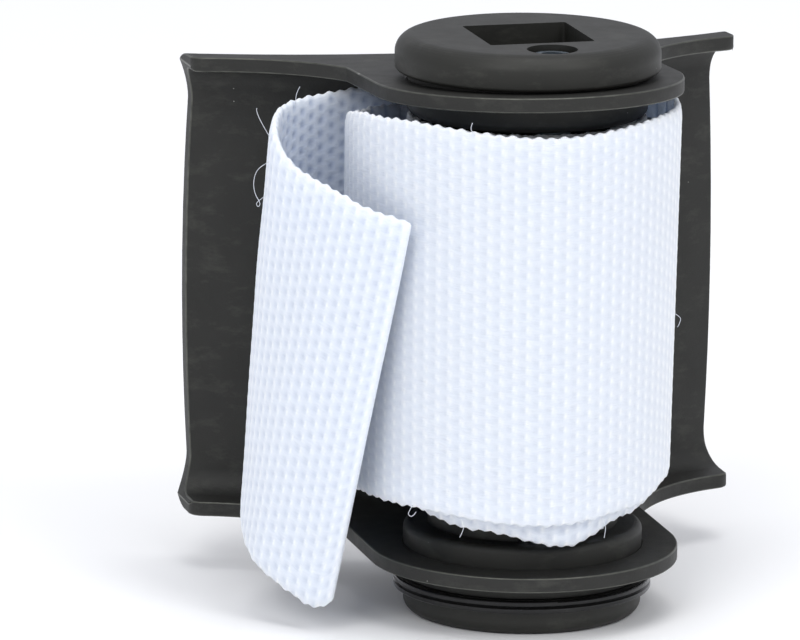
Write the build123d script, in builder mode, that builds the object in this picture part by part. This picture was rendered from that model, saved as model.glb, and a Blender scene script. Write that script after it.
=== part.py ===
from build123d import *
from math import cos, radians, sin
import os

# Strap wrench for a 1/2 inch square drive. A pressed steel yoke carries a spindle between its two
# ears, and the webbing strap is pinned to the spindle and wound on it.
# Millimetres. +Z runs along the spindle axis to the drive end, +Y points to the saddle that bears
# on the work, and the origin is the centre of the spindle's bottom face.

# strap webbing
strap_width = 48.0
strap_thick = 1.2
inner_turns = 2         # tight turns wound inside the spindle's waist

# spindle
body_r = 14.47
end_step = 0.07         # how far the end disc's rim stands in from the body
end_disc_height = 2.9
end_edge_r = 1.5
head_rim = 1.53         # how far the head's rim stands out from the body
head_height = 4.25
head_edge_r = 2.2
head_foot_r = 0.5
collar_edge_r = 0.9
lower_collar = 2.8      # from the lower ear to the waist
upper_collar = 3.4      # from the waist to the upper ear
waist_play = 2.3        # waist height beyond the strap's width

# drive socket
drive_square = 12.9
drive_depth = 13.0
drive_corner_r = 0.4
drive_relief_step = 0.25
drive_relief_depth = 1.5

# slotted spring pin that holds the strap's loop
pin_r = 2.25
pin_wall = 0.8
pin_slot = 0.9
pin_cover = 0.47        # steel between the loop and the body's surface
pin_sunk = 0.6
pin_mouth_step = 0.8
pin_mouth_depth = 1.1
pin_floor = 5.0
loop_gap = 0.05

# spiral retaining ring
ring_wire = 0.8
ring_rim = 1.13         # how far the ring stands out from the body
ring_groove_depth = 1.17
ring_play = 0.05
ring_notch = 0.2
ring_edge_r = 0.25
ring_to_ear = 1.75

# stitching of the strap's loop
stitch_length = 3.0
stitch_pitch = 4.0
stitch_wide = 0.6
stitch_thick = 0.25
stitch_angles = (-62, -57, -52)
skin = 0.1              # air between wound layers and the steel beside them

# yoke, pressed from sheet
sheet = 1.8
bend_r = 3.0
ear_wall = 4.33
ear_fit = 0.05
head_gap = 0.05
upper_slope = 2.8       # degrees that each flange leans in towards the saddle
lower_slope = 0.6
saddle_r = 72.0
wrap_room = 4.85        # from the back of the wrap to the web at mid width
half_width = 34.6
shoulder_y = 13.8
tip_y = 27.2
tip_corner_r = 2.0
shoulder_r = 1.5
web_inset = 1.4         # how far the web's ends stand in from the flange tips
web_bulge = 0.6
flare = 5.0

# loose outer wrap, its curl and its free tail
wrap_centre = (-1.6, 0.5)
wrap_looseness = 3.48   # how much larger its inside is than the spindle's body
wrap_layers = 2
wrap_slip = 2.0         # how far one layer has slipped along the other
wrap_lift = 1.1
curl_lift = 2.3
curl_gap = 0.15
curl_angles = (100, 122)
curl_bend = [(142.1, 4.87), (157.9, 9.21), (171.2, 10.22)]    # angle, distance outside the wrap
root_place = (178.68, 9.96, 34.0)                              # the same, and height
end_place = (209.31, 2.93, 28.0)
root_lean = (3.2, -2.0, 48.0)
end_lean = (7.6, -6.4, 47.0)

# heights that follow, from the spindle's bottom face upwards
z_groove = end_disc_height
z_ring = z_groove + ring_play
z_groove_top = z_ring + 2 * ring_wire + ring_play
z_ear_low = z_groove_top + ring_to_ear
z_waist = z_ear_low + sheet + lower_collar
z_waist_top = z_waist + strap_width + waist_play
z_ear_up = z_waist_top + upper_collar + sheet
z_head = z_ear_up + head_gap
z_top = z_head + head_height

# radii that follow
head_r = body_r + head_rim
end_disc_r = body_r - end_step
ring_r = body_r + ring_rim
ring_groove_r = body_r - ring_groove_depth
drive_relief_r = drive_square / 2 - drive_relief_step
coil_r = body_r - skin
coil_in_r = coil_r - inner_turns * strap_thick
waist_r = coil_in_r - stitch_thick - 2 * skin
loop_r = pin_r + loop_gap + strap_thick
pin_offset = body_r - pin_cover - loop_r
pin_mouth_r = pin_r + pin_mouth_step
ear_r = body_r + ear_wall
wrap_r = body_r + wrap_looseness + wrap_layers * strap_thick
saddle_back = wrap_centre[1] + wrap_r + wrap_room + sheet
saddle_axis_y = saddle_back + saddle_r
sweep_x = ear_r + 0.36 * (half_width - ear_r)
sweep_y = shoulder_y + 0.61 * (tip_y - shoulder_y)

os.makedirs("parts", exist_ok=True)


def save(builder, name):
    """Labels a finished piece and writes it as one STEP file."""
    builder.part.label = name
    export_step(builder.part, f"parts/{name}.step")


def saddle_point(radius, x):
    """The point of an arc about the saddle's axis that lies at x across the yoke."""
    return (x, saddle_axis_y - (radius ** 2 - x ** 2) ** 0.5)


def flange_plane(z_front, slope):
    """A flange face: it meets the ear's front edge at z_front and drops by slope towards +Y."""
    lean = radians(slope)
    return Plane(origin=(0, -ear_r, z_front), x_dir=(1, 0, 0), z_dir=(0, sin(lean), cos(lean)))


def circles_at(builder, z, least_r):
    """The circular edges of a turned piece at height z that are larger than least_r."""
    rims = builder.edges().filter_by(GeomType.CIRCLE)
    return rims.filter_by(lambda rim: abs(rim.center().Z - z) < 0.01 and rim.radius > least_r)


def on_wrap(angle, radius):
    """A point in plan at an angle and a radius about the outer wrap's own centre."""
    turn = radians(angle)
    return (wrap_centre[0] + radius * cos(turn), wrap_centre[1] + radius * sin(turn))


# ---- spindle: head, body with the strap's waist, ring groove and end disc, turned from bar ----
with BuildPart() as spindle:
    with BuildSketch(Plane.XZ):
        with BuildLine():
            Polyline(
                (0, 0), (end_disc_r, 0), (end_disc_r, z_groove), (ring_groove_r, z_groove),
                (ring_groove_r, z_groove_top), (body_r, z_groove_top), (body_r, z_waist),
                (waist_r, z_waist), (waist_r, z_waist_top), (body_r, z_waist_top), (body_r, z_head),
                (head_r, z_head), (head_r, z_top), (0, z_top), close=True,
            )
        make_face()
    revolve(axis=Axis.Z)
    fillet(circles_at(spindle, z_top, waist_r), head_edge_r)
    fillet(circles_at(spindle, z_head, body_r + skin), head_foot_r)
    fillet(circles_at(spindle, z_waist_top, waist_r + skin), collar_edge_r)
    fillet(circles_at(spindle, z_waist, waist_r + skin), collar_edge_r)
    fillet(circles_at(spindle, 0, waist_r), end_edge_r)
    # square drive socket with a round relief in its floor
    with BuildSketch(Plane.XY.offset(z_top)):
        RectangleRounded(drive_square, drive_square, drive_corner_r)
    extrude(amount=-drive_depth, mode=Mode.SUBTRACT)
    with Locations((0, 0, z_top - drive_depth)):
        Cylinder(drive_relief_r, drive_relief_depth, align=(Align.CENTER, Align.CENTER, Align.MAX),
                 mode=Mode.SUBTRACT)
    # bore for the strap pin, its wider mouth, and the pocket that the strap's loop lies in
    with Locations((0, -pin_offset, z_top)):
        Cylinder(pin_r, z_top - pin_floor, align=(Align.CENTER, Align.CENTER, Align.MAX),
                 mode=Mode.SUBTRACT)
        Cylinder(pin_mouth_r, pin_mouth_depth, align=(Align.CENTER, Align.CENTER, Align.MAX),
                 mode=Mode.SUBTRACT)
    with Locations((0, -pin_offset, z_waist)):
        Cylinder(loop_r + skin, z_waist_top - z_waist, align=(Align.CENTER, Align.CENTER, Align.MIN),
                 mode=Mode.SUBTRACT)
save(spindle, "spindle")

# ---- strap pin: a slotted spring pin, its slot to one side ----
with BuildPart() as strap_pin:
    with BuildSketch(Plane.XY.offset(pin_floor)):
        with Locations((0, -pin_offset)):
            Circle(pin_r)
            Circle(pin_r - pin_wall, mode=Mode.SUBTRACT)
        with Locations((pin_r, -pin_offset)):
            Rectangle(2 * pin_r, pin_slot, mode=Mode.SUBTRACT)
    extrude(amount=z_top - pin_sunk - pin_floor)
save(strap_pin, "strap_pin")

# ---- retaining ring: two turns of flat wire in the spindle's groove ----
with BuildPart() as retaining_ring:
    with BuildSketch(Plane.XZ):
        with Locations((ring_groove_r + ring_play, z_ring)):
            Rectangle(ring_r - ring_groove_r - ring_play, 2 * ring_wire, align=(Align.MIN, Align.MIN))
        with Locations((ring_r, z_ring + ring_wire)):
            RegularPolygon(ring_notch, 4, mode=Mode.SUBTRACT)
    revolve(axis=Axis.Z)
    for z_rim in (z_ring, z_ring + 2 * ring_wire):
        fillet(circles_at(retaining_ring, z_rim, ring_r - ring_play), ring_edge_r)
save(retaining_ring, "retaining_ring")

# ---- strap: the loop sewn in its end, round the pin ----
with BuildPart() as strap_loop:
    with BuildSketch(Plane.XY.offset(z_waist + skin)):
        with Locations((0, -pin_offset)):
            Circle(loop_r)
            Circle(pin_r + loop_gap, mode=Mode.SUBTRACT)
    extrude(amount=strap_width)
save(strap_loop, "strap_loop")

# ---- strap: the turns wound tight inside the waist, open in front where the loop lies ----
with BuildPart() as strap_inner_turns:
    with BuildSketch(Plane.XY.offset(z_waist + skin)):
        Circle(coil_r)
        Circle(coil_in_r, mode=Mode.SUBTRACT)
        Rectangle(2 * (loop_r + 2 * skin), body_r, align=(Align.CENTER, Align.MAX), mode=Mode.SUBTRACT)
    extrude(amount=strap_width)
save(strap_inner_turns, "strap_inner_turns")

# ---- stitching: rows of thread that close the loop, on the coil's inner face ----
with BuildPart() as loop_stitching:
    stitch_count = int(strap_width / stitch_pitch)
    stitch_r = coil_in_r - skin - stitch_thick / 2
    for angle in stitch_angles:
        row = Location((stitch_r * cos(radians(angle)), stitch_r * sin(radians(angle)),
                        z_waist + skin + strap_width / 2), (0, 0, angle))
        with Locations(row * Location((0, 0, 0), (0, 90, 0))):
            with GridLocations(stitch_pitch, 1, stitch_count, 1):
                Box(stitch_length, stitch_wide, stitch_thick)
save(loop_stitching, "loop_stitching")

# ---- yoke: one pressed sheet, a curved web with a flange and an ear at each edge ----
# The outer form is the blank's plan between two leaning planes, its back edges rounded as the bend.
with BuildPart() as yoke:
    with BuildSketch(Plane.XY) as yoke_plan:
        with BuildLine():
            ThreePointArc((-ear_r, 0), (0, -ear_r), (ear_r, 0))
            for side in (-1, 1):
                tip = (side * half_width, tip_y)
                Line((side * ear_r, 0), (side * ear_r, shoulder_y))
                ThreePointArc((side * ear_r, shoulder_y), (side * sweep_x, sweep_y), tip)
                Line(tip, saddle_point(saddle_r, side * half_width))
            ThreePointArc(saddle_point(saddle_r, -half_width), (0, saddle_back),
                          saddle_point(saddle_r, half_width))
        make_face()
        fillet(yoke_plan.vertices().filter_by(lambda v: abs(v.Y - tip_y) < 0.01), tip_corner_r)
        fillet(yoke_plan.vertices().filter_by(lambda v: abs(v.Y - shoulder_y) < 0.01), shoulder_r)
    extrude(amount=z_ear_up)
    split(bisect_by=flange_plane(z_ear_up, upper_slope), keep=Keep.BOTTOM)
    split(bisect_by=flange_plane(z_ear_low, -lower_slope), keep=Keep.TOP)
    back_faces = yoke.faces().filter_by(GeomType.CYLINDER).sort_by(SortBy.AREA)
    back_face = back_faces.filter_by(lambda f: abs(f.radius - saddle_r) < 0.01)[0]
    fillet(back_face.edges().filter_by(Axis.Z, reverse=True), bend_r + sheet)

# The inner form, one sheet thickness further in and open to the front and the sides.
with BuildPart() as channel:
    span = 1.3 * half_width
    inner_saddle_r = saddle_r + sheet
    with BuildSketch(Plane.XY):
        with BuildLine():
            ThreePointArc(saddle_point(inner_saddle_r, -span), (0, saddle_axis_y - inner_saddle_r),
                          saddle_point(inner_saddle_r, span))
            Polyline(saddle_point(inner_saddle_r, -span), (-span, -2 * ear_r), (span, -2 * ear_r),
                     saddle_point(inner_saddle_r, span))
        make_face()
    extrude(amount=z_ear_up)
    split(bisect_by=flange_plane(z_ear_up, upper_slope).offset(-sheet), keep=Keep.BOTTOM)
    split(bisect_by=flange_plane(z_ear_low, -lower_slope).offset(sheet), keep=Keep.TOP)
    front_face = channel.faces().filter_by(GeomType.CYLINDER)[0]
    fillet(front_face.edges().filter_by(Axis.Z, reverse=True), bend_r)

# The web's end outline, seen from the front: it flares to the flange tips and bulges between them.
with BuildPart() as frame:
    z_low, z_high = z_ear_low + sheet, z_ear_up - 2 * sheet
    web_x = half_width - web_inset
    bulge_x = web_x + web_bulge
    add(yoke.part)
    add(channel.part, mode=Mode.SUBTRACT)
    with BuildSketch(Plane.XZ.offset(-2 * saddle_axis_y)):
        with BuildLine():
            for side in (-1, 1):
                Line((side * half_width, 0), (side * half_width, z_low))
                RadiusArc((side * half_width, z_low), (side * web_x, z_low + flare), side * 2 * flare)
                ThreePointArc((side * web_x, z_low + flare), (side * bulge_x, (z_low + z_high) / 2),
                              (side * web_x, z_high - flare))
                RadiusArc((side * web_x, z_high - flare), (side * half_width, z_high), side * 2 * flare)
                Line((side * half_width, z_high), (side * half_width, z_top))
            Line((-half_width, 0), (half_width, 0))
            Line((-half_width, z_top), (half_width, z_top))
        make_face()
    extrude(amount=4 * saddle_axis_y, mode=Mode.INTERSECT)
    Cylinder(body_r + ear_fit, 3 * z_top, mode=Mode.SUBTRACT)
save(frame, "frame")

# ---- strap: the loose outer wrap round the wound turns ----
with BuildPart() as strap_wrap:
    with BuildSketch(Plane.XY.offset(z_waist + wrap_lift)):
        with Locations(wrap_centre):
            Circle(wrap_r)
            Circle(wrap_r - wrap_layers * strap_thick, mode=Mode.SUBTRACT)
    extrude(amount=strap_width + wrap_slip)
save(strap_wrap, "strap_wrap")

# ---- strap: the curl that leaves the wrap behind and turns back at the side ----
with BuildPart() as strap_curl:
    with BuildSketch(Plane.XY.offset(z_waist + curl_lift)) as curl_plan:
        with BuildLine() as curl_line:
            curl_r = wrap_r + curl_gap + strap_thick / 2
            ends = [on_wrap(angle, curl_r) for angle in curl_angles]
            middle = on_wrap(sum(curl_angles) / 2, curl_r)
            lead = ThreePointArc(ends[0], middle, ends[1])
            bend = [on_wrap(angle, wrap_r + out) for angle, out in curl_bend]
            Spline(ends[1], *bend, tangents=(lead % 1, (0, -1)))
        trace(line_width=strap_thick)
    extrude(amount=strap_width)
save(strap_curl, "strap_curl")

# ---- strap: the free tail, which leans and twists as it crosses the front of the wrap ----
with BuildPart() as strap_tail:
    root, end = [Vector(*on_wrap(angle, wrap_r + out), height)
                 for angle, out, height in (root_place, end_place)]
    run = end - root
    for place, lean in ((root, root_lean), (end, end_lean)):
        across = Vector(*lean).normalized()
        along = run - across * run.dot(across)
        with BuildSketch(Plane(origin=place, x_dir=across, z_dir=along)):
            Rectangle(strap_width, strap_thick)
    loft(ruled=True)
save(strap_tail, "strap_tail")
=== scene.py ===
from math import cos, exp, pi, radians, sin

import bmesh
import bpy
from mathutils import Matrix, Vector, noise


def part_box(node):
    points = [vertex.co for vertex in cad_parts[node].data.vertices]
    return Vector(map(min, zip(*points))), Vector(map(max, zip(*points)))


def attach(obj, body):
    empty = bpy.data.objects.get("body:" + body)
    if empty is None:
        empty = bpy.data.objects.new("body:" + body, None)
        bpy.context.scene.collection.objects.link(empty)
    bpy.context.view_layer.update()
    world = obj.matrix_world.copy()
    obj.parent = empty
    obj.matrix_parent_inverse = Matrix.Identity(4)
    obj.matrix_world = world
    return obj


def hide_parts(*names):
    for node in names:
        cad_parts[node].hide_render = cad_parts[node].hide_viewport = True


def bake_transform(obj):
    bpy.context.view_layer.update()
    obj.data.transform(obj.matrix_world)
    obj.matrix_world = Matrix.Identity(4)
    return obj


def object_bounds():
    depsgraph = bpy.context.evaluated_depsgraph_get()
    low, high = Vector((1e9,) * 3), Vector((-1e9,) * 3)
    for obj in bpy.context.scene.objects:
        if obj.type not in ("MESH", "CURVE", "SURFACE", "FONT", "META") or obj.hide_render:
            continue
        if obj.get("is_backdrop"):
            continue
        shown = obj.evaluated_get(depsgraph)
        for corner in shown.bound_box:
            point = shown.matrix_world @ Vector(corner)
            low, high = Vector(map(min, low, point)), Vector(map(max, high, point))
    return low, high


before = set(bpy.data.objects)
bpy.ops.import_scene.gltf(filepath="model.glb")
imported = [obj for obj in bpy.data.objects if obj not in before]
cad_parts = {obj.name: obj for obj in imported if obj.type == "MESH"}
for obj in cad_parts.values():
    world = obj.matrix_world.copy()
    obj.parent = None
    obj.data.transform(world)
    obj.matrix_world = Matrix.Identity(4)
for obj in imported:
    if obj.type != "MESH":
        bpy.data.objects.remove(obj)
cad_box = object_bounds()
scene = bpy.context.scene


# ---- Camera. A long lens stands a little above the tool and to the left of its front, and looks at
# a point beside the spindle, so that the whole yoke and the curl of the strap fit the picture.
spindle_low, spindle_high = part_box("spindle")
spindle_middle = Vector((0, 0, (spindle_low.z + spindle_high.z) / 2))
camera_turn = radians(16)
to_right = Vector((cos(camera_turn), -sin(camera_turn), 0))
to_back = Vector((sin(camera_turn), cos(camera_turn), 0))
camera_back = 1.07603
camera_height = 0.23389
aim_left = 0.01505
aim_height = 0.00009
camera_roll = 0.00904
eye = spindle_middle - camera_back * to_back + Vector((0, 0, camera_height))
aim = spindle_middle - aim_left * to_right + Vector((0, 0, aim_height))

camera = bpy.data.objects.new("camera", bpy.data.cameras.new("camera"))
scene.collection.objects.link(camera)
camera.data.sensor_width = 36
camera.data.lens = 411.0
camera.data.clip_start = 0.05
camera.location = eye
level = (aim - eye).to_track_quat("-Z", "Y").to_matrix()
camera.rotation_euler = (level @ Matrix.Rotation(camera_roll, 3, "Z")).to_euler()
scene.camera = camera
scene.view_settings.view_transform = "Standard"


# ---- Floor and light. A pale studio table under a white dome, with soft boxes in front and overhead, and
# one more on the right, so that the webbing's right side is the brighter.
def linear(code):
    """An sRGB hex colour as a linear RGBA tuple."""
    parts = [int(code[place:place + 2], 16) / 255 for place in (1, 3, 5)]
    return tuple(p / 12.92 if p <= 0.04045 else ((p + 0.055) / 1.055) ** 2.4 for p in parts) + (1,)


def add(tree, kind, fill=None, **settings):
    """Adds a shader node, sets its properties, and fills its inputs with values or with outputs."""
    made = tree.nodes.new("ShaderNode" + kind)
    for name, value in settings.items():
        setattr(made, name, value)
    for name, value in (fill or {}).items():
        if isinstance(value, bpy.types.NodeSocket):
            tree.links.new(value, made.inputs[name])
        else:
            made.inputs[name].default_value = value
    return made


def new_material(name):
    """An empty material and its node tree, with the principled shader already at its output."""
    made = bpy.data.materials.new(name)
    made.use_nodes = True
    made.node_tree.nodes.clear()
    shader = add(made.node_tree, "BsdfPrincipled")
    output = add(made.node_tree, "OutputMaterial", {"Surface": shader.outputs["BSDF"]})
    output.is_active_output = True
    return made, made.node_tree, shader


def new_object(name, shape):
    """Turns a finished bmesh into an object at the origin, smooth shaded."""
    mesh = bpy.data.meshes.new(name)
    shape.to_mesh(mesh)
    shape.free()
    mesh.shade_smooth()
    made = bpy.data.objects.new(name, mesh)
    scene.collection.objects.link(made)
    return made


floor_shape = bmesh.new()
bmesh.ops.create_grid(floor_shape, x_segments=1, y_segments=1, size=3.0)
floor = new_object("floor", floor_shape)
floor_paint, tree, shader = new_material("white_laminate_table")
shader.inputs["Base Color"].default_value = linear("#fafafa")
shader.inputs["Roughness"].default_value = 0.6
floor.data.materials.append(floor_paint)
floor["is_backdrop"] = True

world = bpy.data.worlds.new("studio")
scene.world = world
world.use_nodes = True
world.node_tree.nodes["Background"].inputs["Color"].default_value = linear("#f6f8ff")
world.node_tree.nodes["Background"].inputs["Strength"].default_value = 0.70

for name, side, ahead, height, size, watts in (
    ("front_box", -0.40, 0.90, 0.95, 0.60, 5.0),
    ("key_box", 0.80, 0.85, 1.10, 0.50, 5.4),
    ("top_box", 0.10, 0.05, 1.30, 0.80, 5.8),
):
    lamp = bpy.data.objects.new(name, bpy.data.lights.new(name, "AREA"))
    scene.collection.objects.link(lamp)
    lamp.data.size = size
    lamp.data.energy = watts
    lamp.location = spindle_middle + side * to_right - ahead * to_back + Vector((0, 0, height))
    lamp.rotation_euler = (spindle_middle - lamp.location).to_track_quat("-Z", "Y").to_euler()


# ---- Yoke. One steel sheet pressed to a curved web with two ears, then blacked in a phosphate bath.
# The coat is matt charcoal with a fine grain, its edges have rubbed paler, and a knock has bared the
# steel at the left shoulder.
MM = 0.001


def grain(tree, size, detail=3.0):
    """Noise with blobs about as large as size, in millimetres."""
    place = add(tree, "TexCoord").outputs["Object"]
    return add(tree, "TexNoise", {"Vector": place, "Scale": 1 / (size * MM), "Detail": detail})


def finish_blacked(tree, shader, tone, rough, grain_size, grain_height):
    """Adds pale scuffs and dust to the tone, varies the roughness, and gives the coat its grain.
    The coat's crystals are too fine to show, so the grain is drawn coarser. Sizes are in millimetres."""
    dust_spacing = 1.5
    dust_radius = 0.045
    dusty_share = 0.22
    scuff_size = 4.5
    scuff_flattening = 2.2
    scuff_strength = 0.22
    rough_spread = 0.07
    place = add(tree, "TexCoord").outputs["Object"]
    cells = add(tree, "TexVoronoi", {"Vector": place, "Scale": 1 / (dust_spacing * MM)})
    speck = add(tree, "Math", {0: cells.outputs["Distance"], 1: dust_radius}, operation="LESS_THAN")
    chosen = add(tree, "SeparateColor", {"Color": cells.outputs["Color"]})
    rare = add(tree, "Math", {0: chosen.outputs["Red"], 1: dusty_share}, operation="LESS_THAN")
    dust = add(tree, "Math", {0: speck.outputs[0], 1: rare.outputs[0]}, operation="MULTIPLY")
    handling = add(tree, "Mapping", {"Vector": place, "Scale": (1.0, 1.0, scuff_flattening)})
    rub = add(tree, "TexNoise", {"Vector": handling.outputs["Vector"], "Scale": 1 / (scuff_size * MM),
                                 "Detail": 9.0, "Roughness": 0.68})
    scuff = add(tree, "MapRange", {"Value": rub.outputs["Fac"], "From Min": 0.52, "From Max": 0.78,
                                   "To Max": scuff_strength})
    scuffed = add(tree, "Mix", {"Factor": scuff.outputs["Result"], "A": tone, "B": linear("#67675f")},
                  data_type="RGBA")
    dusty = add(tree, "Mix", {"Factor": dust.outputs[0], "A": scuffed.outputs["Result"],
                              "B": linear("#8d8d88")}, data_type="RGBA")
    tree.links.new(dusty.outputs["Result"], shader.inputs["Base Color"])
    patch = grain(tree, 2.5)
    spread = add(tree, "MapRange", {"Value": patch.outputs["Fac"], "To Min": rough - rough_spread,
                                    "To Max": rough + rough_spread})
    tree.links.new(spread.outputs["Result"], shader.inputs["Roughness"])
    fine = grain(tree, grain_size, detail=4.0)
    bump = add(tree, "Bump", {"Height": fine.outputs["Fac"], "Strength": 1.0,
                              "Distance": grain_height * MM})
    tree.links.new(bump.outputs["Normal"], shader.inputs["Normal"])


def blend_tones(tree, size, dark, light):
    """Two close colours mixed in soft blotches of about that size in millimetres."""
    blotch = grain(tree, size)
    mix = add(tree, "Mix", {"Factor": blotch.outputs["Fac"], "A": linear(dark), "B": linear(light)},
              data_type="RGBA")
    return mix.outputs["Result"]


# The flat faces: zinc phosphate, a matt coat that scatters light almost evenly.
phosphate, tree, shader = new_material("phosphated_pressed_steel")
shader.inputs["Metallic"].default_value = 0.35
finish_blacked(tree, shader, blend_tones(tree, 7.0, "#242422", "#2c2c29"), 0.58, 0.22, 0.03)

# The rubbed edges: the same coat worn thin, so that the steel gives a paler, smoother line.
worn, tree, shader = new_material("phosphated_steel_rubbed_edge")
shader.inputs["Metallic"].default_value = 0.6
finish_blacked(tree, shader, blend_tones(tree, 1.2, "#31322f", "#65665f"), 0.42, 0.22, 0.02)
knock = Vector((-18.8, 8.4, 65.9)) * MM
knock_inside, knock_outside = 0.3 * MM, 1.1 * MM
place = add(tree, "TexCoord").outputs["Object"]
away = add(tree, "VectorMath", {0: place, 1: knock}, operation="DISTANCE")
bared = add(tree, "MapRange", {"Value": away.outputs["Value"], "From Min": knock_outside,
                               "From Max": knock_inside, "To Max": 0.9})
coated = shader.inputs["Base Color"].links[0].from_socket
knocked = add(tree, "Mix", {"Factor": bared.outputs["Result"], "A": coated,
                            "B": linear("#d8d8d2")}, data_type="RGBA")
tree.links.new(knocked.outputs["Result"], shader.inputs["Base Color"])

edge_round = 0.17 * MM
sharpest_curve = radians(28)
merge_distance = 0.001 * MM
yoke_shape = bmesh.new()
yoke_shape.from_mesh(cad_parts["frame"].data)
bmesh.ops.remove_doubles(yoke_shape, verts=yoke_shape.verts, dist=merge_distance)
bmesh.ops.dissolve_limit(yoke_shape, angle_limit=radians(0.4), verts=yoke_shape.verts,
                         edges=yoke_shape.edges)
yoke = new_object("pressed_yoke", yoke_shape)
yoke.data.materials.clear()
yoke.data.materials.append(phosphate)
yoke.data.materials.append(worn)
rounding = yoke.modifiers.new("rubbed edges", "BEVEL")
rounding.width = edge_round
rounding.segments = 2
rounding.limit_method = "ANGLE"
rounding.angle_limit = sharpest_curve
rounding.material = 1
rounding.use_clamp_overlap = False
even = yoke.modifiers.new("even shading", "WEIGHTED_NORMAL")
even.keep_sharp = True
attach(yoke, "frame")
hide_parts("frame")


# ---- Spindle. Turned from bar, with the drive socket broached in its head, then black oxidised.
# The oxide keeps faint turning rings, a soft sheen on the rounded edges, and grains of dust.
def turned(name, dark, light, rough, ring_pitch, ring_height):
    """Black oxide over a turned surface, whose fine rings run round the part's axis. The real feed
    marks are too fine to show, so ring_pitch is coarser. Sizes are in millimetres."""
    wave_length = 0.314
    made, tree, shader = new_material(name)
    finish_blacked(tree, shader, blend_tones(tree, 5.0, dark, light), rough, 0.3, 0.012)
    place = add(tree, "TexCoord").outputs["Object"]
    rings = add(tree, "TexWave", {"Vector": place, "Scale": wave_length / (ring_pitch * MM),
                                  "Distortion": 0.4, "Detail": 1.0},
                wave_type="RINGS", rings_direction="Z", wave_profile="SIN")
    grained = shader.inputs["Normal"].links[0].from_node
    bump = add(tree, "Bump", {"Height": rings.outputs["Fac"], "Strength": 1.0,
                              "Distance": ring_height * MM, "Normal": grained.outputs["Normal"]})
    tree.links.new(bump.outputs["Normal"], shader.inputs["Normal"])
    shader.inputs["Metallic"].default_value = 0.4
    return made


def paint(node, material):
    """Gives a CAD node's object its finish."""
    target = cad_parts[node]
    target.data.materials.clear()
    target.data.materials.append(material)


paint("spindle", turned("black_oxide_turned_steel", "#242421", "#2f2f2b", 0.52, 0.35, 0.006))


# ---- Retaining ring. Two turns of flat spring wire, oiled and glossy black, in the spindle's groove.
oiled, tree, shader = new_material("oiled_spring_wire")
shader.inputs["Metallic"].default_value = 0.5
finish_blacked(tree, shader, blend_tones(tree, 4.0, "#151515", "#242424"), 0.24, 0.3, 0.004)
paint("retaining_ring", oiled)


# ---- Strap pin. A slotted spring pin, tempered bright with a bluish cast, sunk in its bore.
tempered, tree, shader = new_material("tempered_spring_pin")
shader.inputs["Metallic"].default_value = 1.0
shade = blend_tones(tree, 1.2, "#7f8f9d", "#aab4bb")
tree.links.new(shade, shader.inputs["Base Color"])
shader.inputs["Roughness"].default_value = 0.33
paint("strap_pin", tempered)


# ---- Strap. One white polyester webbing, plain woven from thick yarns: 0.83 mm of width to each
# warp yarn and 1.55 mm of length to each weft. Floats and pits alternate like bricks, a float on one
# face is a pit on the other, and the weft's turns scallop both selvedges. Lengths are in millimetres.
weft_pitch = 1.55
warp_pair = 1.65
strap_thick = 1.2
weave_depth = 0.30
scallop = 0.19
selvedge_stand = 0.36


def ease(value):
    """0 to 1 with a smooth start and end."""
    value = min(1.0, max(0.0, value))
    return value * value * (3 - 2 * value)


def weave_height(along, across):
    """The weave's height, how far into a pit a place is, and how much it is a pit's flank. The pit share
    darkens the cloth's colour as painted shade, and the flank share lightens it as a painted highlight.
    Pits stand in columns, one to each weft yarn, and a column's pits lie between its neighbours'.
    A span is how far from its middle a pit, a float or a flank fades, along and across the strap."""
    pit_span = (0.42, 0.46)
    float_span = (0.75, 0.40)
    flank_span = (0.24, 0.50)
    flank_away = 0.50
    flank_lean = 0.25
    level, ridge_rise, float_rise, pit_fall = 0.40, 0.18, 0.42, 0.40
    column = int(along // weft_pitch)
    height = pit = flank = 0.0
    for near in (column, column + 1):
        off = along - near * weft_pitch
        step = across / warp_pair - (near % 2) / 2
        to_pit = (step - round(step)) * warp_pair
        to_float = (step + 0.5 - round(step + 0.5)) * warp_pair
        to_flank = off - flank_away + flank_lean * to_pit
        pit += exp(-(off / pit_span[0]) ** 2 - (to_pit / pit_span[1]) ** 2)
        height += exp(-(off / float_span[0]) ** 2 - (to_float / float_span[1]) ** 2)
        flank += exp(-(to_flank / flank_span[0]) ** 2 - (to_pit / flank_span[1]) ** 2)
    ridge = 0.5 - 0.5 * cos(2 * pi * along / weft_pitch)
    return level + ridge_rise * ridge + float_rise * height - pit_fall * pit, pit, flank


def smooth_line(points, count):
    """Points evenly spaced along a smooth curve through the given ones, and the curve's length."""
    steps = 20
    nodes = [Vector(p) for p in points]
    ends = [2 * nodes[0] - nodes[1]] + nodes + [2 * nodes[-1] - nodes[-2]]
    fine = []
    for a, b, c, d in zip(ends, ends[1:], ends[2:], ends[3:]):
        for step in range(steps):
            t = step / steps
            fine.append(0.5 * (2 * b + (c - a) * t + (2 * a - 5 * b + 4 * c - d) * t ** 2
                               + (3 * b - a - 3 * c + d) * t ** 3))
    fine.append(nodes[-1])
    reach = [0.0]
    for a, b in zip(fine, fine[1:]):
        reach.append(reach[-1] + (b - a).length)
    line, at = [], 0
    for number in range(count):
        want = reach[-1] * number / (count - 1)
        while at < len(reach) - 2 and reach[at + 1] < want:
            at += 1
        share = (want - reach[at]) / max(1e-9, reach[at + 1] - reach[at])
        line.append(fine[at].lerp(fine[at + 1], share))
    return line, reach[-1]


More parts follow.
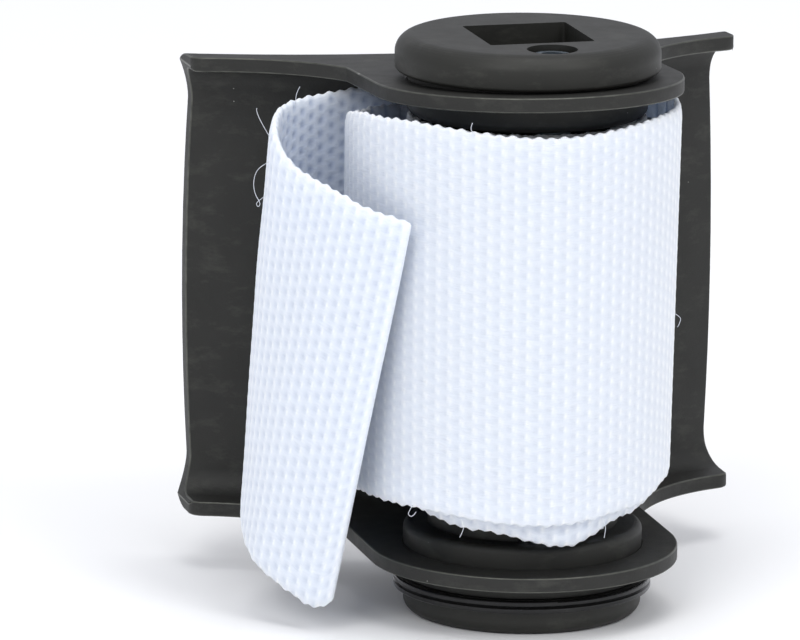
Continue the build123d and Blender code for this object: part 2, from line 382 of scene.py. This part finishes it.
def section(width, outer_step, inner_step):
    """The strap's section as a closed loop: outer face, top selvedge, inner face, low selvedge.
    Each place has its distance across, how far it is off the strap's middle and out past a selvedge,
    as shares from -1 to 1, and its run along the loop."""
    outer = round(width / outer_step)
    inner = round(width / inner_step)
    places = [(width * k / outer, 1.0, 0.0) for k in range(outer + 1)]
    places += [(width, cos(radians(turn)), sin(radians(turn))) for turn in (36, 72, 108, 144)]
    places += [(width * k / inner, -1.0, 0.0) for k in range(inner, -1, -1)]
    places += [(0.0, cos(radians(turn)), sin(radians(turn))) for turn in (216, 252, 288, 324)]
    places.append(places[0])
    half = strap_thick / 2
    runs = [0.0]
    for (w1, n1, e1), (w2, n2, e2) in zip(places, places[1:]):
        runs.append(runs[-1] + Vector((w2 - w1 + half * (e2 - e1), half * (n2 - n1))).length)
    return [place + (run,) for place, run in zip(places, runs)]


def webbing(name, low, high, length, begin, loop, thick=strap_thick, press=1.0, melt=0.0, ripple=0.0):
    """A strip of webbing between its two selvedge lines. Both lines have the same number of points.
    begin is where it starts along the whole strap, press is how much of the outer face's relief
    use has left, melt is the length sealed at its far end, and ripple is how far it waves."""
    seal_loss = 0.12
    selvedge_thinning = 0.3
    selvedge_span = 0.6
    ripple_size = 11
    # How much of the painted flank highlight the inner face keeps.
    inner_highlight_share = 0.3
    last = len(low) - 1
    width = max(place[0] for place in loop)
    shape = bmesh.new()
    depth = shape.verts.layers.float.new("pit")
    flank_highlight_layer = shape.verts.layers.float.new("flank")
    molten = shape.verts.layers.float.new("molten")
    uv = shape.loops.layers.uv.new("cloth")
    bmesh.ops.create_grid(shape, x_segments=last, y_segments=len(loop) - 1, size=1)
    where = {}
    for vert in shape.verts:
        column = round((vert.co.x + 1) / 2 * last)
        row = round((vert.co.y + 1) / 2 * (len(loop) - 1))
        where[vert.index] = (column, row)
        before, after = max(column - 1, 0), min(column + 1, last)
        from_low, off, out, _ = loop[row]
        share = from_low / width
        along = (low[after] - low[before]).lerp(high[after] - high[before], share)
        across = (high[column] - low[column]).normalized()
        normal = along.cross(across).normalized()
        reach = length * column / last
        facing = 0 if off > 0 else weft_pitch
        lift, pit, flank = weave_height(begin + reach + facing, from_low)
        sealed = ease((reach - length + melt) / melt) if melt else 0.0
        round_off = 1.0
        from_end = min(reach, length - reach)
        if from_end < thick / 2:
            round_off = (1 - (1 - 2 * from_end / thick) ** 2) ** 0.5
        crisp = (press if off > 0 else 1.0) * (1 - sealed)
        body = thick / 2 - weave_depth * (1 - lift) * crisp - seal_loss * sealed
        body *= 1 - selvedge_thinning * exp(-(min(from_low, width - from_low) / selvedge_span) ** 2)
        # The pit share darkens the colour as painted shade, and the flank share lightens it as a painted
        # highlight.
        vert[depth] = pit * crisp
        vert[flank_highlight_layer] = flank * (1 - sealed) * (1.0 if off > 0 else inner_highlight_share)
        vert[molten] = sealed
        bight = pi * (begin + reach) / weft_pitch + (0 if out > 0 else pi)
        turns = scallop * (0.7 * cos(2 * bight) + 0.3 * cos(bight))
        edge = selvedge_stand + turns * (1 - sealed)
        wander = ripple * noise.noise(Vector((begin + reach, from_low * 0.8, 3.1)) / ripple_size)
        point = low[column].lerp(high[column], share) + normal * (off * body * round_off + wander)
        vert.co = (point + across * out * edge * round_off) * MM
    for face in shape.faces:
        for corner in face.loops:
            column, row = where[corner.vert.index]
            corner[uv].uv = (begin + length * column / last, loop[row][3])
    bmesh.ops.remove_doubles(shape, verts=shape.verts, dist=2 * merge_distance)
    rim = [edge for edge in shape.edges if edge.is_boundary]
    bmesh.ops.holes_fill(shape, edges=rim, sides=0)
    made = new_object(name, shape)
    made.data.materials.append(polyester)
    return made


# Polyester yarn, spun white with a blue brightener. The light goes a little way into it, so pits stay
# soft, and the sealed end is glossy. Its colour holds painted shade in the pits and a painted highlight
# on their flanks. The cloth map is in millimetres. Single filaments are too fine to show, so streaks
# are drawn about 0.25 mm wide.
polyester, tree, shader = new_material("woven_white_polyester")
cloth = add(tree, "UVMap", uv_map="cloth").outputs["UV"]
stretch = add(tree, "Mapping", {"Vector": cloth, "Scale": (0.9, 4.2, 1.0)})
fibres = add(tree, "TexNoise", {"Vector": stretch.outputs["Vector"], "Scale": 1.0, "Detail": 3.0})
patches = add(tree, "TexNoise", {"Vector": cloth, "Scale": 0.22, "Detail": 2.0})
tint = add(tree, "Mix", {"Factor": patches.outputs["Fac"], "A": linear("#e1e8f4"),
                         "B": linear("#e6ebf4")}, data_type="RGBA")
streak = add(tree, "Mix", {"Factor": fibres.outputs["Fac"], "A": linear("#d8dfec"),
                           "B": tint.outputs["Result"]}, data_type="RGBA")
# Painted shade: the pits are coloured a darker grey-blue.
pit_shade_mask = add(tree, "Attribute", attribute_name="pit")
pit_painted_shade = add(tree, "Mix", {"Factor": pit_shade_mask.outputs["Fac"], "A": streak.outputs["Result"],
                         "B": linear("#bac3d3")}, data_type="RGBA")
# Painted highlight: the flanks of the pits are coloured paler, less so on the inner face.
flank_highlight_mask = add(tree, "Attribute", attribute_name="flank")
flank_painted_highlight = add(tree, "Mix", {"Factor": flank_highlight_mask.outputs["Fac"], "A": pit_painted_shade.outputs["Result"],
                           "B": linear("#f2f6fc")}, data_type="RGBA")
tree.links.new(flank_painted_highlight.outputs["Result"], shader.inputs["Base Color"])
molten = add(tree, "Attribute", attribute_name="molten")
gloss = add(tree, "MapRange", {"Value": molten.outputs["Fac"], "To Min": 0.55, "To Max": 0.22})
tree.links.new(gloss.outputs["Result"], shader.inputs["Roughness"])
shader.inputs["Subsurface Weight"].default_value = 1.0
shader.inputs["Subsurface Radius"].default_value = (1.0, 1.0, 1.0)
shader.inputs["Subsurface Scale"].default_value = 1.8 * MM
shader.inputs["Sheen Weight"].default_value = 0.15
bump = add(tree, "Bump", {"Height": fibres.outputs["Fac"], "Strength": 1.0, "Distance": 0.09 * MM})
tree.links.new(bump.outputs["Normal"], shader.inputs["Normal"])


# ---- Outer wrap. The strap lies loosely round the wound turns, twice. It opens as a spiral, and its
# lower turn has slipped down in front, so that its selvedge shows below the outer one.
def by_angle(table, angle):
    """A value read from a table of angles and values, with smooth steps between them. A table of
    one row is the same all round."""
    for (a, low), (b, high) in zip(table, table[1:]):
        if angle <= b:
            return low + (high - low) * ease((angle - a) / (b - a))
    return table[-1][1]


def spiral(centre, first, last, radii, lows, tops, tapers, step):
    """The two selvedge lines of a turn about the centre, from first to last degree, and its length.
    The low selvedge's radius is less than the top one's by the taper, and step is between columns."""
    middle = by_angle(radii, (first + last) / 2)
    columns = round(radians(last - first) * middle / step) + 1
    low, high = [], []
    for number in range(columns):
        angle = first + (last - first) * number / (columns - 1)
        outwards = Vector((cos(radians(angle)), sin(radians(angle)), 0))
        radius = by_angle(radii, angle)
        bottom = centre + (radius - by_angle(tapers, angle)) * outwards
        low.append(bottom + Vector((0, 0, by_angle(lows, angle))))
        high.append(centre + radius * outwards + Vector((0, 0, by_angle(tops, angle))))
    length = sum((b - a).length for a, b in zip(high, high[1:]))
    return low, high, length


wrap_centre = Vector((-1.6, 0.5, 0))
wrap_radii = [(170, 15.1), (255, 18.2), (360, 18.6), (450, 18.9), (540, 19.7), (720, 19.7),
              (820, 20.7)]
under_lows = [(170, 16.2), (205, 15.9), (243, 14.1), (277, 12.0), (303, 14.6), (335, 16.3), (480, 14.6)]
under_tops = [(170, 60.4), (270, 59.6), (325, 58.5), (430, 58.5), (480, 59.2)]
under_tapers = [(170, 0.0), (240, 0.1), (335, 0.8), (440, 0.3), (480, 0.0)]
outer_lows = [(480, 14.6), (550, 16.7), (575, 16.5), (630, 15.0), (665, 15.9), (692, 17.4),
              (712, 16.8), (820, 14.5)]
outer_tops = [(480, 59.2), (505, 59.6), (556, 62.3), (575, 62.6), (630, 61.4), (680, 62.3),
              (740, 62.0), (820, 61.8)]
outer_tapers = [(480, 0.0), (600, 0.1), (695, 0.9), (780, 0.3), (820, 0.0)]
under_start = 200.0
hidden_step = 1.6

low, high, length = spiral(wrap_centre, 172, 480, wrap_radii, under_lows, under_tops, under_tapers,
                           weft_pitch / 4)
under = webbing("strap_under_turn", low, high, length, under_start,
                section(47.2, warp_pair / 5, hidden_step), press=0.6)
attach(under, "wrap")
outer_start = under_start + length

low, high, length = spiral(wrap_centre, 480, 820, wrap_radii, outer_lows, outer_tops, outer_tapers,
                           weft_pitch / 5)
outer = webbing("strap_outer_turn", low, high, length, outer_start,
                section(47.0, warp_pair / 6, hidden_step), press=0.3)
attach(outer, "wrap")
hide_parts("strap_wrap")
curl_start = outer_start + length


# ---- Curl and tail. Behind the spindle the strap leaves the wrap, curls round at the left, and its
# free end crosses the front, leaning down. The end was cut hot, which sealed it with a glossy band.
top_line = [(-5.2, 20.9, 61.5), (-8.0, 20.3, 61.5), (-10.8, 19.4, 61.4), (-14.7, 18.1, 61.3),
            (-19.0, 16.7, 61.1), (-23.0, 15.1, 60.9), (-26.2, 12.8, 60.7), (-28.3, 10.0, 60.3),
            (-29.6, 6.6, 59.8), (-30.3, 3.4, 58.8), (-30.0, 0.4, 57.0), (-28.7, -2.1, 55.4),
            (-26.8, -5.1, 54.3), (-24.9, -7.8, 53.3), (-22.6, -10.2, 52.1), (-18.1, -14.1, 50.9)]
bottom_line = [(-5.2, 20.9, 14.5), (-8.0, 20.3, 14.3), (-11.0, 19.6, 14.1), (-15.0, 18.9, 13.8),
               (-20.0, 18.2, 13.4), (-24.8, 17.2, 12.9), (-29.0, 15.2, 12.3), (-31.4, 12.4, 11.7),
               (-32.5, 9.0, 10.8), (-33.1, 6.0, 9.7), (-33.2, 3.2, 8.6), (-32.8, 0.3, 7.3),
               (-31.6, -1.9, 6.1), (-30.0, -3.9, 4.8), (-27.7, -6.3, 3.4), (-25.7, -7.8, 4.3)]
_, length = smooth_line(top_line, 2)
columns = round(length / (weft_pitch / 5)) + 1
high, high_length = smooth_line(top_line, columns)
low, low_length = smooth_line(bottom_line, columns)
length = (high_length + low_length) / 2
tail = webbing("strap_curl_and_tail", low, high, length, curl_start,
               section(47.4, warp_pair / 5, warp_pair / 5), thick=1.35, press=0.5, melt=0.9, ripple=0.25)
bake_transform(tail)
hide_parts("strap_curl", "strap_tail")


# ---- Loose fibres. Single polyester filaments have worked out of the selvedges and stand off as
# hairs and small loops. They are drawn 0.08 mm thick, because the real 0.03 mm would not show.
def loose_fibres(name, strands):
    """Closed thin tubes along smooth open lines, one for each list of points."""
    fibre_radius = 0.04
    drawn = bpy.data.curves.new(name, "CURVE")
    drawn.dimensions = "3D"
    drawn.bevel_depth = fibre_radius * MM
    drawn.bevel_resolution = 1
    drawn.use_fill_caps = True
    for points in strands:
        line = drawn.splines.new("NURBS")
        line.points.add(len(points) - 1)
        for point, place in zip(line.points, points):
            point.co = (*(Vector(place) * MM), 1)
        line.use_endpoint_u = True
        line.order_u = 3
        line.resolution_u = 6
    carrier = bpy.data.objects.new(name + "_line", drawn)
    tubes = bpy.data.meshes.new_from_object(carrier)
    shape = bmesh.new()
    shape.from_mesh(tubes)
    bmesh.ops.remove_doubles(shape, verts=shape.verts, dist=merge_distance)
    bpy.data.objects.remove(carrier)
    bpy.data.curves.remove(drawn)
    bpy.data.meshes.remove(tubes)
    made = new_object(name, shape)
    made.data.materials.append(filament)
    return made


# A single filament is clear and glossy, so it glints pale grey against the black steel.
filament, tree, shader = new_material("polyester_filament")
tree.links.new(blend_tones(tree, 0.8, "#b9bec8", "#eceff5"), shader.inputs["Base Color"])
shader.inputs["Roughness"].default_value = 0.4
hairs = loose_fibres("loose_fibres_of_curl", [
    [(-30.6, 3.3, 58.2), (-31.0, 3.4, 58.8), (-31.7, 3.5, 60.0), (-32.3, 3.7, 61.2), (-32.6, 3.8, 62.1),
     (-32.5, 3.8, 62.3)],
    [(-30.7, 3.2, 56.0), (-31.3, 3.4, 55.7), (-32.5, 3.8, 54.8), (-32.9, 3.9, 53.3), (-32.7, 3.8, 51.8),
     (-32.0, 3.6, 50.7), (-32.3, 3.7, 50.2), (-32.6, 3.8, 50.7), (-31.9, 3.6, 51.3), (-31.4, 3.5, 51.7),
     (-31.3, 3.5, 52.6)],
    [(-26.2, 9.6, 60.9), (-26.3, 9.4, 62.2), (-26.1, 9.4, 63.0), (-25.8, 9.3, 63.6)],
])
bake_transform(hairs)
hairs = loose_fibres("loose_fibres_of_wrap", [
    [(-17.2, -12.3, 16.5), (-17.6, -12.8, 16.1), (-17.9, -12.7, 15.5), (-17.3, -12.8, 15.1),
     (-16.9, -12.9, 15.8)],
    [(-12.2, -16.3, 15.4), (-12.2, -16.7, 14.8), (-12.0, -16.7, 14.3), (-12.5, -16.6, 13.3)],
    [(5.0, -17.7, 14.9), (5.1, -18.0, 14.3), (5.2, -18.0, 13.6), (5.0, -18.0, 12.6)],
    [(16.9, -6.2, 37.0), (17.4, -6.4, 36.7), (17.8, -6.4, 36.2), (17.3, -6.4, 35.3)],
    [(-11.2, -17.0, 61.9), (-11.5, -17.2, 62.4), (-11.9, -17.1, 62.9), (-11.6, -17.1, 63.6)],
])
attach(hairs, "wrap")


# ---- Wound turns. Inside the waist the strap is wound tight, twice, and clamped by its own pull. Its
# second turn rides over the loop, which stands a little proud of the waist.
waist_centre = Vector((0, 0, 0))
coil_radii = [(-75, 12.6), (285, 14.0), (645, 14.1)]
coil_lows = [(0, 14.4)]
coil_tops = [(0, 60.7)]
no_taper = [(0, 0.0)]
coil_start = 30.0
low, high, length = spiral(waist_centre, -55, 660, coil_radii, coil_lows, coil_tops, no_taper,
                           weft_pitch / 2)
coil = webbing("strap_wound_turns", low, high, length, coil_start,
               section(47.6, warp_pair / 3, warp_pair / 3))
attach(coil, "spindle")
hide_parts("strap_inner_turns")


# ---- Loop and its stitching. The strap's hidden end is folded round the pin and sewn to itself with
# white polyester thread, in short runs of twisted yarn.
loop_low, loop_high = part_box("strap_loop")
pin_low, pin_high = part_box("strap_pin")
pin_centre = Vector((0, (pin_low.y + pin_high.y) / 2 / MM, 0))
loop_thick = 1.1
pin_gap = 0.1
selvedge_inset = 0.4
loop_radii = [(0, (pin_high.x - pin_low.x) / 2 / MM + pin_gap + loop_thick / 2)]
loop_lows = [(0, loop_low.z / MM + selvedge_inset)]
loop_tops = [(0, loop_high.z / MM - selvedge_inset)]
low, high, length = spiral(pin_centre, 100, 436, loop_radii, loop_lows, loop_tops, no_taper,
                           weft_pitch / 3)
loop = webbing("strap_pin_loop", low, high, length, 0.0, section(47.2, warp_pair / 3, warp_pair / 3),
               thick=loop_thick)
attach(loop, "spindle")
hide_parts("strap_loop")

# Sewing thread is twisted hard, which mixes bright and shaded strands less than half a millimetre long.
thread, tree, shader = new_material("twisted_polyester_thread")
tree.links.new(blend_tones(tree, 0.4, "#d4d9e4", "#eef1f8"), shader.inputs["Base Color"])
shader.inputs["Roughness"].default_value = 0.5
paint("loop_stitching", thread)


size = {"cad": [list(corner) for corner in cad_box], "visual": [list(corner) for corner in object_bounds()]}
